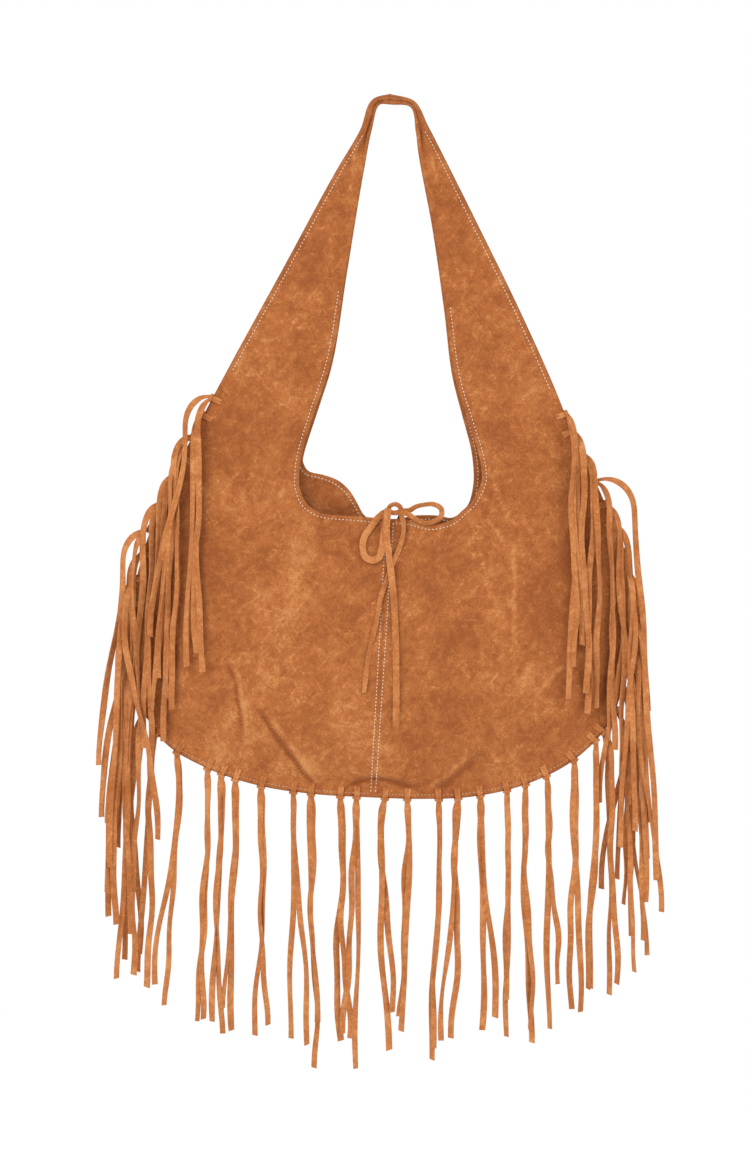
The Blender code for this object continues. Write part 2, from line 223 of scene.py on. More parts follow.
# Folds pressed into the front: each a route, its kind, height and width, all in millimetres.
# A lap has its left-hand side, going along it, lying over the other.
frontFolds = {
    "left soft crease": (
        "groove", 2.2, 2.4, [(-151, -511), (-143, -527), (-140, -546), (-137, -563), (-137, -586)],
    ),
    "beside it": (
        "ridge", 2.6, 7.5, [(-144, -512), (-134, -530), (-130, -550), (-128, -572), (-130, -590)],
    ),
    "sharp fold": (
        "lap", 5.2, 1.7, [(-124, -546), (-116, -559), (-104, -580), (-89, -600), (-73, -621), (-62, -632)],
    ),
    "sharp fold shadow": (
        "groove", 1.8, 2.0, [(-122, -552), (-105, -582), (-90, -602), (-74, -623), (-63, -633)],
    ),
    "belly overhang": (
        "lap", 4.6, 1.8, [(-48, -629), (-32, -621), (-9, -618), (8, -622), (19, -625), (36, -631)],
    ),
    "overhang shadow": (
        "groove", 1.6, 2.0, [(-46, -632), (-31, -623.5), (-9, -620.5), (8, -624.5), (22, -628)],
    ),
    "corner tuck": ("lap", 4.2, 1.8, [(34, -632), (52, -621), (67, -608), (76, -599), (88, -596)]),
    "tuck shadow": ("groove", 2.0, 2.4, [(40, -633), (56, -625), (70, -613), (80, -604), (92, -600)]),
    "fan one": ("ridge", 1.6, 3.0, [(66, -617), (89, -608), (110, -604)]),
    "fan two": ("ridge", 1.5, 2.6, [(70, -624), (95, -613), (120, -607)]),
    "fan three": ("groove", 1.4, 2.0, [(72, -620), (92, -611), (114, -606)]),
    "fan four": ("ridge", 1.4, 3.0, [(80, -628), (104, -620), (128, -613)]),
    "left pull": ("ridge", 1.6, 7.0, [(-96, -520), (-100, -550), (-112, -580), (-130, -600)]),
    "left dish": ("groove", 1.6, 12.0, [(-178, -560), (-168, -580), (-150, -596)]),
    "right drape": ("ridge", 1.6, 10.0, [(118, -380), (122, -440), (128, -500), (118, -560)]),
    "right hollow": ("groove", 1.5, 9.0, [(146, -400), (152, -450), (150, -510), (138, -560)]),
    "crest twist": ("lap", 2.6, 0.7, [(19, 0), (13, 2.8), (6, 4.6), (-4, 7), (-10, 8.5)]),
    "left gather": ("groove", 1.9, 1.5, [(-12, -4), (-17.5, -14.7), (-22, -28.5), (-25.8, -51.5)]),
    "left roll": ("ridge", 1.4, 2.6, [(-24, -12), (-29.4, -28.5), (-33.1, -51.5), (-36.8, -83.7)]),
    "right gather": ("groove", 1.9, 1.5, [(24, -6), (27.6, -16.6), (30.4, -42.3), (36.8, -74.5)]),
    "right roll": ("ridge", 1.4, 2.6, [(32, -18), (36.8, -33.1), (40.5, -60.7), (46, -79)]),
}
backFolds = {
    "left crease": ("groove", 1.6, 3.0, [(-140, -500), (-128, -530), (-124, -570), (-130, -600)]),
    "beside it": ("ridge", 2.2, 9.0, [(-130, -490), (-116, -530), (-112, -575), (-118, -606)]),
    "right lap": ("lap", 2.8, 1.6, [(70, -628), (84, -606), (100, -586), (118, -566)]),
    "low sag": ("ridge", 2.2, 7.0, [(-60, -612), (-20, -608), (20, -610), (60, -606)]),
    "right drape": ("ridge", 1.8, 10.0, [(90, -420), (110, -470), (116, -530)]),
    "left drape": ("groove", 1.6, 10.0, [(-90, -410), (-104, -460), (-110, -520)]),
}
# Marks painted into the colour of the front: thin light streaks where handling has lifted the nap, broad lighter and
# darker patches, and painted shade along creases and folds with painted highlights along their ridges: strength,
# width, route
napMarksAndPaintedLight = [
    (0.42, 2.4, [(111, -388), (114, -430), (113, -470), (114, -511)]),
    (0.50, 2.6, [(93, -342), (101, -362), (109, -381)]),
    (0.45, 2.4, [(88, -381), (98, -394), (107, -409)]),
    (0.45, 2.6, [(119, -378), (131, -396), (143, -416)]),
    (0.40, 2.2, [(122, -455), (134, -472)]),
    (0.35, 2.0, [(79, -466), (104, -466)]),
    (0.50, 2.2, [(134, -543), (146, -530), (157, -515)]),
    (0.40, 2.0, [(65, -413), (76, -400)]),
    (0.40, 2.2, [(72, -367), (76, -395)]),
    (0.45, 2.4, [(115, -592), (124, -588)]),
    (0.30, 9.0, [(-83, -364), (-86, -410), (-84, -456)]),
    (0.25, 14.0, [(-130, -430), (-120, -480), (-126, -530)]),
    (0.25, 12.0, [(-60, -500), (-50, -550), (-56, -590)]),
    (0.30, 10.0, [(-110, -600), (-80, -612), (-40, -606)]),
    # From here on the narrow dark lines are painted shade in creases and folds, the narrow light lines are painted
    # highlights along their ridges, and the wide strokes are broad lighter and darker patches
    (-1.7, 1.3, [(-123, -551), (-104, -582), (-89, -602), (-73, -623), (-62, -633)]),
    (-1.0, 1.3, [(-151, -511), (-143, -527), (-140, -546), (-137, -563), (-137, -586)]),
    (0.6, 2.2, [(-147, -509), (-138.5, -526), (-135.5, -546), (-132.5, -563), (-132, -586)]),
    (-1.4, 1.4, [(-44, -632), (-31, -624), (-9, -621), (8, -625), (30, -632)]),
    (0.30, 55.0, [(-160, -560), (-110, -600)]),
    (-1.4, 1.3, [(36, -634), (54, -623.5), (69, -610.5), (79, -602)]),
    (0.55, 2.6, [(-112, -560), (-98, -579), (-82, -601), (-66, -622)]),
    (0.55, 2.4, [(34, -629), (51, -618), (65, -605), (82, -594)]),
    (-0.25, 16.0, [(150, -450), (160, -500), (150, -550)]),
    (-0.22, 14.0, [(40, -430), (50, -480), (44, -540)]),
    (-0.9, 1.1, [(-13, -5), (-17.5, -14.7), (-22, -28.5), (-25.8, -51.5)]),
    (-0.9, 1.1, [(24, -6), (27.6, -16.6), (30.4, -42.3), (36.8, -74.5)]),
    (0.4, 2.2, [(-29.4, -28.5), (-33.1, -51.5), (-36.8, -83.7)]),
    (0.4, 2.2, [(36.8, -33.1), (40.5, -60.7), (46, -79)]),
    (-0.9, 0.9, [(-8, 8), (-2, 7), (4, 5.5), (13, 2.8)]),
]


# How far each point is from a route, which side it is on, and how far along, from 0 to 1
def routeField(x, z, route):
    line = sampled(route, 3.0)
    ways = unit(np.gradient(line, axis=0))
    points = np.stack((x, z), axis=1)
    gaps = points[:, None, :] - line[None, :, :]
    nearest = (gaps**2).sum(axis=2).argmin(axis=1)
    gap = points - line[nearest]
    way = ways[nearest]
    side = np.sign(way[:, 0] * gap[:, 1] - way[:, 1] * gap[:, 0])
    return np.linalg.norm(gap, axis=1), side, nearest / (len(line) - 1)


def foldHeight(x, z, folds, lapReach=24.0):
    total = np.zeros(x.size)
    flatX = x.ravel()
    flatZ = z.ravel()
    for kind, height, width, route in folds.values():
        reach = max(width * 3, lapReach * 3 if kind == "lap" else 0)
        low = np.min(route, axis=0) - reach
        high = np.max(route, axis=0) + reach
        near = (flatX > low[0]) & (flatX < high[0]) & (flatZ > low[1]) & (flatZ < high[1])
        if not near.any():
            continue
        gap, side, along = routeField(flatX[near], flatZ[near], route)
        taper = ease(along / 0.22) * ease((1 - along) / 0.22)
        if kind == "lap":
            over = 1 / (1 + np.exp(-side * gap / (width * 0.5)))
            shape = over * np.exp(-gap / lapReach) * taper
        else:
            shape = np.exp(-((gap / width) ** 2)) * (0.25 + 0.75 * taper)
            if kind == "groove":
                shape = -shape
        total[near] += height * shape
    return total.reshape(x.shape)


# The marks above as one value at each point: nap streaks and patches, painted shade and painted highlights
def napAndPaintedLightAt(x, z):
    total = np.zeros(x.size)
    flatX = x.ravel()
    flatZ = z.ravel()
    for strength, width, route in napMarksAndPaintedLight:
        low = np.min(route, axis=0) - width * 3
        high = np.max(route, axis=0) + width * 3
        near = (flatX > low[0]) & (flatX < high[0]) & (flatZ > low[1]) & (flatZ < high[1])
        if near.any():
            gap, _, along = routeField(flatX[near], flatZ[near], route)
            taper = 0.2 + 0.8 * ease(along / 0.25) * ease((1 - along) / 0.25)
            total[near] += strength * np.exp(-((gap / width) ** 2)) * taper
    return total.reshape(x.shape)


# How high the leather stands off the middle plane at any point of a face, its own thickness left out
def faceHeight(x, z, face):
    inset = edgeDistance(x, z)
    height = bodyDepth(x, z, inset)
    spread = ease((inset - 6) / 45) * ease((-z - 60) / 160)
    height += bag["sag"] * spread * slowWaves(x, z, 95, 3 if face == "front" else 4)
    height += 0.35 * spread * slowWaves(x, z, 34, 5 if face == "front" else 6)
    height += foldHeight(x, z, frontFolds if face == "front" else backFolds)
    return height


crest = {
    "pleatReach": 215.0,  # pleats fade out this far down the strap
    "pleatHeight": 1.5,
    "bundle": 2.6,  # the gathered strap is this much fuller at the crest
    "bundleReach": 95.0,
}


# Lengthwise pleats gathered into the crest, by station along the outer edge and share across
def pleats(station, share):
    fade = 1 - ease(station / crest["pleatReach"])
    full = 1 - ease(station / crest["bundleReach"])
    wave = 0.6 * np.cos(math.tau * (1.9 * share + 0.16)) + 0.4 * np.cos(math.tau * (3.3 * share + 0.42))
    body = 1 - (2 * share - 1) ** 2
    return crest["pleatHeight"] * fade**1.5 * wave * (0.3 + 0.7 * body) + crest["bundle"] * full * body


hem = {
    "lip": 4.0,  # edge to the row of stitches
    "puff": 0.45,  # the turned edge stands up a little
    "sink": 0.55,  # the thread pulls the leather down
    "turned": 7.0,  # width of leather turned in along the back rim
    "rimFrom": 215.0,  # station where the sewn rim starts, at the bar tack
    "rightRimFrom": 234.0,
}


# The sewn edge: a puffed lip, then a trough under the thread
def sewnEdge(distance, amount=1.0):
    lip = hem["puff"] * np.exp(-(((distance - hem["lip"] * 0.4) / 1.6) ** 2))
    trough = -hem["sink"] * np.exp(-(((distance - hem["lip"]) / 1.0) ** 2))
    roll = -0.55 * np.exp(-((distance / 0.7) ** 2))
    return amount * (lip + trough) + roll


def widthAt(half, face, station):
    return np.linalg.norm(half[face](station) - half["outer"](station), axis=1)


# Points of one panel by station along the outer edge and share of the way across, in millimetres.
# Skin 1 is the outside of the leather and skin 0 the inside.
def panelPoints(half, face, station, share, skin=1.0):
    shape = station.shape + (2,)
    outer = half["outer"](station.ravel()).reshape(shape)
    inner = half[face](station.ravel()).reshape(shape)
    width = np.linalg.norm(inner - outer, axis=-1)
    plane = outer + (inner - outer) * share[..., None]
    x = plane[..., 0]
    z = plane[..., 1]
    height = faceHeight(x, z, face) + pleats(station, np.clip(share, 0, 1))
    rimGap = (1 - share) * width
    rimHem = ease((station - hem["rimFrom"]) / 20)
    if skin > 0:
        strap = ease((station - 40) / 30) * (1 - ease((station - 285) / 25))
        seamGap = (half["length"] - station) * (0.25 + 0.75 * (1 - share))
        height = height + bag["suede"]
        height += sewnEdge(np.abs(share) * width, 0.3 + 0.7 * strap)
        height += sewnEdge(rimGap, 0.3 + 0.7 * rimHem)
        height -= 0.7 * np.exp(-((seamGap / 1.4) ** 2))
    elif face == "back":  # the leather turned in along the rim of the back
        height = height - 0.9 * ease((hem["turned"] - rimGap) / 1.2) * rimHem
    way = -1 if face == "front" else 1
    return np.stack((x, way * height, z), axis=-1)


def meshPiece(name, points, faces, materials, faceMaterial=None, napAndPaintedLight=None, smoothAngle=55):
    mesh = bpy.data.meshes.new(name)
    mesh.from_pydata((np.asarray(points) * mm).tolist(), [], [list(face) for face in faces])
    for material in materials:
        mesh.materials.append(material)
    if faceMaterial is not None:
        mesh.polygons.foreach_set("material_index", faceMaterial)
    work = bmesh.new()
    work.from_mesh(mesh)
    bmesh.ops.recalc_face_normals(work, faces=work.faces)
    work.to_mesh(mesh)
    work.free()
    mesh.shade_smooth()
    mesh.set_sharp_from_angle(angle=math.radians(smoothAngle))
    # A point attribute holding the nap marks with the painted shade and painted highlights, read by the suede
    if napAndPaintedLight is not None:
        layer = mesh.attributes.new("napAndPaintedLight", "FLOAT", "POINT")
        layer.data.foreach_set("value", np.asarray(napAndPaintedLight, np.float32))
    piece = bpy.data.objects.new(name, mesh)
    bpy.context.scene.collection.objects.link(piece)
    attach(piece, "root")
    return piece


def fromHex(code):
    channels = [int(code[i : i + 2], 16) / 255 for i in (1, 3, 5)]
    return [c / 12.92 if c <= 0.04045 else ((c + 0.055) / 1.055) ** 2.4 for c in channels] + [1.0]


def addNode(tree, kind, links, **settings):
    node = tree.nodes.new(kind)
    for name, value in settings.items():
        setattr(node, name, value)
    for socket, source in links.items():
        if isinstance(source, bpy.types.NodeSocket):
            tree.links.new(source, node.inputs[socket])
        else:
            node.inputs[socket].default_value = source
    return node


suedeLooks = {
    "dark": "#8A4A22",  # nap lying down, and painted shade in creases and folds
    "middle": "#A35F30",
    "light": "#BC7E4A",  # nap standing up, rubbed places, and painted highlights along fold ridges
    "blotch": 70.0,  # mm, clouds of nap brushed one way
    "cloud": 17.0,  # mm, smaller clouds within them
    "mottle": 5.5,  # mm, tufts
    "streak": 7.0,  # mm, finger marks
    "scuff": 2.2,  # mm across, short light scratches
    "scuffWays": (0.7, -0.5, 1.7),  # radians from upright
    "scuffPale": 0.12,
    "grain": 1.5,  # mm, drawn coarser than real nap so that it shows
    "contrast": 0.20,  # how far the nap swings to either end of its colours
    "roughness": 0.95,
    "sheen": 0.22,
}
# What each layer of the nap adds: weight, detail, roughness, distortion
napLayers = {
    "blotch": (0.45, 3.0, 0.55, 0.6),
    "cloud": (0.55, 6.0, 0.66, 0.7),
    "mottle": (0.40, 4.0, 0.65, 0.5),
    "streak": (0.24, 4.0, 0.60, 0.8),
    "grain": (0.55, 3.0, 0.75, 0.0),
}


# Chrome-tanned split leather, buffed to a nap: matt, with soft light and dark clouds where the nap
# has been brushed both ways, short pale scratches, a fine fibrous grain, and, where the mesh carries them, painted
# shade in creases and painted highlights along fold ridges
def nappedSuede(name, looks, lighter=0.0, useNapAndPaintedLight=True, grainDepth=0.5):
    made = bpy.data.materials.new(name)
    made.use_nodes = True
    tree = made.node_tree
    shader = tree.nodes["Principled BSDF"]
    place = addNode(tree, "ShaderNodeTexCoord", {}).outputs["Object"]
    drawn = addNode(
        tree, "ShaderNodeMapping",
        {"Vector": place, "Rotation": (0.0, 0.6, 0.0), "Scale": (1.0, 1.0, 3.2)}, vector_type="TEXTURE",
    ).outputs["Vector"]
    layers = {}
    height = lighter + 0.5
    for layer, (weight, detail, roughness, distortion) in napLayers.items():
        noise = addNode(
            tree, "ShaderNodeTexNoise",
            {
                "Vector": drawn if layer == "streak" else place, "Scale": 1000 / looks[layer],
                "Detail": detail, "Roughness": roughness, "Distortion": distortion,
            },
        )
        layers[layer] = addNode(
            tree, "ShaderNodeMath", {0: noise.outputs["Fac"], 1: 0.5}, operation="SUBTRACT"
        ).outputs[0]
        height = addNode(
            tree, "ShaderNodeMath", {0: layers[layer], 1: weight, 2: height}, operation="MULTIPLY_ADD"
        ).outputs[0]
    for angle in looks["scuffWays"]:
        scratched = addNode(
            tree, "ShaderNodeMapping",
            {"Vector": place, "Rotation": (0.0, angle, 0.0), "Scale": (1.0, 1.0, 5.0)}, vector_type="TEXTURE",
        ).outputs["Vector"]
        scuff = addNode(
            tree, "ShaderNodeTexNoise",
            {"Vector": scratched, "Scale": 1000 / looks["scuff"], "Detail": 1.0, "Distortion": 0.4},
        )
        pale = addNode(
            tree, "ShaderNodeMapRange", {"Value": scuff.outputs["Fac"], "From Min": 0.62, "From Max": 0.76}
        ).outputs["Result"]
        height = addNode(
            tree, "ShaderNodeMath", {0: pale, 1: looks["scuffPale"], 2: height}, operation="MULTIPLY_ADD"
        ).outputs[0]
    # Nap marks, painted shade and painted highlights push the colour towards its dark or light end
    if useNapAndPaintedLight:
        napAndPaintedLight = addNode(tree, "ShaderNodeAttribute", {}, attribute_name="napAndPaintedLight").outputs["Fac"]
        height = addNode(
            tree, "ShaderNodeMath", {0: napAndPaintedLight, 1: 0.34, 2: height}, operation="MULTIPLY_ADD"
        ).outputs[0]
    tone = addNode(
        tree, "ShaderNodeMapRange",
        {"Value": height, "From Min": 0.5 - looks["contrast"], "From Max": 0.5 + looks["contrast"]},
    )
    ramp = addNode(tree, "ShaderNodeValToRGB", {"Fac": tone.outputs["Result"]})
    ramp.color_ramp.elements[0].color = fromHex(looks["dark"])
    ramp.color_ramp.elements[1].color = fromHex(looks["light"])
    middle = ramp.color_ramp.elements.new(0.5)
    middle.color = fromHex(looks["middle"])
    tree.links.new(ramp.outputs["Color"], shader.inputs["Base Color"])
    fibres = addNode(
        tree, "ShaderNodeBump", {"Height": layers["grain"], "Strength": grainDepth, "Distance": 0.0008}
    )
    tufts = addNode(
        tree, "ShaderNodeBump",
        {"Height": layers["mottle"], "Strength": 0.4, "Distance": 0.0016, "Normal": fibres.outputs["Normal"]},
    )
    hand = addNode(
        tree, "ShaderNodeBump",
        {"Height": layers["cloud"], "Strength": 0.4, "Distance": 0.0026, "Normal": tufts.outputs["Normal"]},
    )
    tree.links.new(hand.outputs["Normal"], shader.inputs["Normal"])
    shader.inputs["Roughness"].default_value = looks["roughness"]
    shader.inputs["Specular IOR Level"].default_value = 0.2
    shader.inputs["Sheen Weight"].default_value = looks["sheen"]
    shader.inputs["Sheen Roughness"].default_value = 0.6
    shader.inputs["Sheen Tint"].default_value = fromHex("#E8B888")
    return made


fleshLooks = dict(
    suedeLooks, dark="#84461F", middle="#9A572C", light="#AE6E3E", blotch=40.0, grain=1.8, sheen=0.12,
)
laceLooks = dict(
    suedeLooks, dark="#9A5828", middle="#AE6A3A", light="#C4844F", blotch=50.0, cloud=14.0, streak=4.0,
)
suedeLeft = nappedSuede("napped suede, left half", suedeLooks, lighter=-0.075)
suedeRight = nappedSuede("napped suede, right half", suedeLooks, lighter=-0.07)
suedeInside = nappedSuede("flesh side of the suede", fleshLooks, useNapAndPaintedLight=False)
laceSuede = nappedSuede("cut suede lace", laceLooks, useNapAndPaintedLight=False)


# Polished cotton sewing thread, three-ply: off-white, with a slight gloss along the twist
def cottonThread(name, dark, light):
    made = bpy.data.materials.new(name)
    made.use_nodes = True
    tree = made.node_tree
    shader = tree.nodes["Principled BSDF"]
    place = addNode(tree, "ShaderNodeTexCoord", {}).outputs["Object"]
    ply = addNode(tree, "ShaderNodeTexNoise", {"Vector": place, "Scale": 1400.0, "Detail": 2.0})
    ramp = addNode(tree, "ShaderNodeValToRGB", {"Fac": ply.outputs["Fac"]})
    ramp.color_ramp.elements[0].color = fromHex(dark)
    ramp.color_ramp.elements[1].color = fromHex(light)
    tree.links.new(ramp.outputs["Color"], shader.inputs["Base Color"])
    bump = addNode(tree, "ShaderNodeBump", {"Height": ply.outputs["Fac"], "Strength": 0.4, "Distance": 0.0003})
    tree.links.new(bump.outputs["Normal"], shader.inputs["Normal"])
    shader.inputs["Roughness"].default_value = 0.7
    return made


cleanThread = cottonThread("three-ply cotton thread", "#C2B198", "#E6DCCA")
# A darker copy of the thread, sewn along the bottom edge
darkerHemThread = cottonThread("darker cotton thread at the hem", "#A87F58", "#C9A583")
print("finishes made")


view = {
    "distance": 3.6,
    "high": 1.071,  # height taken in at the middle plane
    "aim": (-0.0138, -0.4398),  # x and z
}
camera = bpy.data.objects.new("camera", bpy.data.cameras.new("camera"))
bpy.context.scene.collection.objects.link(camera)
camera.location = (view["aim"][0], -view["distance"], view["aim"][1])
camera.rotation_euler = (math.radians(90), 0, 0)
camera.data.sensor_width = 36.0
camera.data.lens = 36.0 * view["distance"] / view["high"]
camera.data.clip_end = 60
bpy.context.scene.camera = camera

studio = {
    "sky": 1.0,
    "lamps": (  # name, place, aim, side length, watts
        ("key", (-1.5, -2.0, 1.0), (0, 0, -0.4), 1.5, 34.0),
        ("fill", (2.2, -1.6, -0.2), (0, 0, -0.5), 1.8, 15.0),
        ("back fill", (0.8, 2.4, 0.6), (0, 0, -0.4), 2.0, 14.0),
    ),
    "floor": -1.6,
}
for name, place, aim, wide, watts in studio["lamps"]:
    lamp = bpy.data.objects.new(name, bpy.data.lights.new(name, "AREA"))
    bpy.context.scene.collection.objects.link(lamp)
    lamp.data.size = wide
    lamp.data.energy = watts
    lamp.location = place
    away = np.array(place) - np.array(aim)
    lamp.rotation_euler = (
        math.atan2(math.hypot(away[0], away[1]), away[2]), 0, math.atan2(away[0], -away[1])
    )
world = bpy.data.worlds.new("studio")
bpy.context.scene.world = world
world.use_nodes = True
world.node_tree.nodes["Background"].inputs["Color"].default_value = (1, 1, 1, 1)
world.node_tree.nodes["Background"].inputs["Strength"].default_value = studio["sky"]
bpy.context.scene.view_settings.view_transform = "Standard"

bpy.ops.mesh.primitive_circle_add(vertices=96, radius=7, fill_type="NGON", location=(0, 0, studio["floor"]))
floor = bpy.context.object
floor.name = "floor"
paper = bpy.data.materials.new("matt white paper")
paper.use_nodes = True
paper.node_tree.nodes["Principled BSDF"].inputs["Base Color"].default_value = fromHex("#FFFFFF")
paper.node_tree.nodes["Principled BSDF"].inputs["Roughness"].default_value = 0.9
floor.data.materials.append(paper)
print("camera, light and floor set")


leather = {
    "frontRows": 330,
    "frontColumns": 146,
    "backRows": 260,
    "backColumns": 90,
    "rowShares": ((0.0, 0.12, 0.38, 1.0), (0.0, 0.08, 0.42, 1.0)),  # of the rows, and of the length
    "rimRound": 0.35,
}


# Columns close together at both edges, where the sewing is, and even between them
def panelShares(width, columns, overlap):
    close = np.array((0.0, 0.7, 1.5, 2.4, 3.3, 4.2, 5.4, 7.5, 10.5))
    close = close[None, :] * np.minimum(1, width / 44)[:, None]
    last = close[:, -1]
    between = np.linspace(0, 1, columns - 2 * close.shape[1] + 2)[1:-1] ** 1.25
    middle = last[:, None] + (width - 2 * last)[:, None] * between[None, :]
    inset = np.concatenate((close, middle, width[:, None] - close[:, ::-1]), axis=1)
    return inset / width[:, None] - (1 - inset / width[:, None]) * (overlap / width)[:, None]


def makePanel(name, node, half, face, material):
    rows = leather[face + "Rows"]
    station = half["length"] * np.interp(np.linspace(0, 1, rows), *leather["rowShares"])
    overlap = ease(station / 60) * (bag["backLap"] if face == "back" else 0)
    share = panelShares(widthAt(half, face, station), leather[face + "Columns"], overlap)
    station = np.repeat(station[:, None], share.shape[1], axis=1)
    outside = panelPoints(half, face, station, share, 1.0)
    skins = [outside.reshape(-1, 3), panelPoints(half, face, station, share, 0.0).reshape(-1, 3)]
    size = share.size
    index = np.arange(size).reshape(share.shape)
    quads = np.stack((index[:-1, :-1], index[:-1, 1:], index[1:, 1:], index[1:, :-1]), axis=-1)
    quads = quads.reshape(-1, 4)
    rim = np.concatenate((index[0, :-1], index[:-1, -1], index[-1, :0:-1], index[:0:-1, 0]))
    after = np.roll(np.arange(len(rim)), -1)
    middle = (skins[0][rim] + skins[1][rim]) / 2  # the cut edge is rounded by a line of its own
    way = unit(middle[after] - np.roll(middle, 1, axis=0))
    turning = np.sum(middle[:, 0] * middle[after, 2] - middle[after, 0] * middle[:, 2])
    outward = np.stack((way[:, 2], np.zeros(len(way)), -way[:, 0]), axis=1) * np.sign(turning)
    middle = middle + outward * leather["rimRound"]
    line = 2 * size + np.arange(len(rim))
    upper = np.stack((rim, line, line[after], rim[after]), axis=1)
    lower = np.stack((line, rim + size, rim[after] + size, line[after]), axis=1)
    faces = np.concatenate((quads, quads + size, upper, lower))
    faceMaterial = np.zeros(len(faces), np.int32)
    faceMaterial[len(quads) : 2 * len(quads)] = 1
    # Nap marks with painted shade and painted highlights, on the front panels only
    napAndPaintedLight = napAndPaintedLightAt(outside[..., 0], outside[..., 2]) if face == "front" else np.zeros(share.shape)
    napAndPaintedLight = np.concatenate((napAndPaintedLight.ravel(), 0 * napAndPaintedLight.ravel(), napAndPaintedLight.ravel()[rim]))
    points = np.concatenate((skins[0], skins[1], middle))
    piece = meshPiece(name, points, faces, [material, suedeInside], faceMaterial, napAndPaintedLight)
    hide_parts(node)
    return piece


halves = {"left": (left, suedeLeft), "right": (right, suedeRight)}
panels = {}
for face in ("front", "back"):
    for sideName, (half, material) in halves.items():
        name = f"{face}_{sideName}"
        panels[name] = makePanel(name + "_suede", name + "_panel", half, face, material)
        print("panel", name, len(panels[name].data.polygons), "faces")


sewing = {
    "pitch": {"rim": 3.4, "rim_inside": 3.4, "strap": 3.4, "bottom": 3.4, "seam": 3.3},  # stitch to stitch
    "shown": 0.52,  # share of the pitch that is thread
    "thread": 0.85,  # thread diameter
    "seamSpread": (3.3, 2.2),  # each row of the middle seam from its join, top and bottom
    "bottomInset": 2.6,
}


# A row of stitches along a route on the leather, each a short arch that dives in at both ends
def stitchRow(name, route, way, pitch, thread):
    steps = runLengths(route)
    points = []
    faces = []
    reaches = ((-0.5, -0.30, 0.45), (-0.36, 0.10, 0.95), (0.0, 0.24, 1.05), (0.36, 0.10, 0.95), (0.5, -0.30, 0.45))
    around = [(math.cos(a), math.sin(a)) for a in np.arange(6) * math.tau / 6]
    for middle in np.arange(pitch / 2, steps[-1], pitch):
        behind, spot, ahead = (
            np.array([np.interp(middle + step, steps, route[:, k]) for k in range(3)]) for step in (-0.8, 0, 0.8)
        )
        along = unit(ahead - behind)
        up = np.array((0.0, way, 0.0))
        up = unit(up - along * (up @ along))
        aside = np.cross(along, up)
        first = len(points)
        for reach, rise, fat in reaches:
            centre = spot + along * reach * pitch * sewing["shown"] + up * rise
            for a, b in around:
                points.append(centre + (aside * a + up * b * 0.85) * fat * sewing["thread"] / 2)
        for ring in range(4):
            for k in range(6):
                a = first + ring * 6 + k
                b = first + ring * 6 + (k + 1) % 6
                faces.append((a, b, b + 6, a + 6))
        faces.append(tuple(range(first, first + 6)))
        faces.append(tuple(range(first + 24, first + 30)))
    return meshPiece(name, points, faces, [thread], smoothAngle=80)


def edgeRoute(half, face, first, last, inset, fromRim, skin=1.0):
    station = np.linspace(first, last, int(abs(last - first)) + 2)
    share = inset / widthAt(half, face, station)
    return panelPoints(half, face, station, 1 - share if fromRim else share, skin)


def seamRoute(face, side):
    top = left[face](left["length"])[0]
    bottom = left["outer"](left["length"])[0]
    t = np.linspace(0.012, 0.985, 160)[:, None]
    aside = unit(np.array((bottom[1] - top[1], top[0] - bottom[0]))) * -1
    line = top + (bottom - top) * t + aside * side * (sewing["seamSpread"][0] * (1 - t) + sewing["seamSpread"][1] * t)
    height = faceHeight(line[:, 0], line[:, 1], face) + bag["suede"]
    way = -1 if face == "front" else 1
    return np.stack((line[:, 0], way * height, line[:, 1]), axis=1)


threads = {name: [] for name in panels}
for sideName, (half, _) in halves.items():
    rimFrom = hem["rimFrom"] if sideName == "left" else hem["rightRimFrom"]
    laced = 300 if sideName == "left" else 318  # station where the lacing starts
    for face in ("front", "back"):
        way = -1 if face == "front" else 1
        name = f"{face}_{sideName}"
        rows = {
            "rim": (edgeRoute(half, face, rimFrom, half["length"] - 6, hem["lip"], True), way),
            "strap": (edgeRoute(half, face, 52, laced, hem["lip"], False), way),
            "bottom": (
                edgeRoute(half, face, half["length"] * 0.74, half["length"] - 4, sewing["bottomInset"], False),
                way,
            ),
            "seam": (seamRoute(face, half["side"]), way),
        }
        if face == "back":  # the same thread shows inside the mouth
            inside = edgeRoute(half, face, rimFrom, half["length"] - 6, hem["lip"], True, 0.0)
            rows["rim_inside"] = (inside, -way)
        for rowName, (route, rowWay) in rows.items():
            pitch = sewing["pitch"][rowName]
            thread = darkerHemThread if rowName == "bottom" else cleanThread
            threads[name].append(stitchRow(f"thread_{name}_{rowName}", route, rowWay, pitch, thread))
print("sewing done,", sum(len(rows) for rows in threads.values()), "rows")


bandSection = np.array(
    (
        (-0.5, -0.34), (-0.46, -0.5), (0.46, -0.5), (0.5, -0.34),
        (0.5, 0.34), (0.46, 0.5), (-0.46, 0.5), (-0.5, 0.34),
    )
)


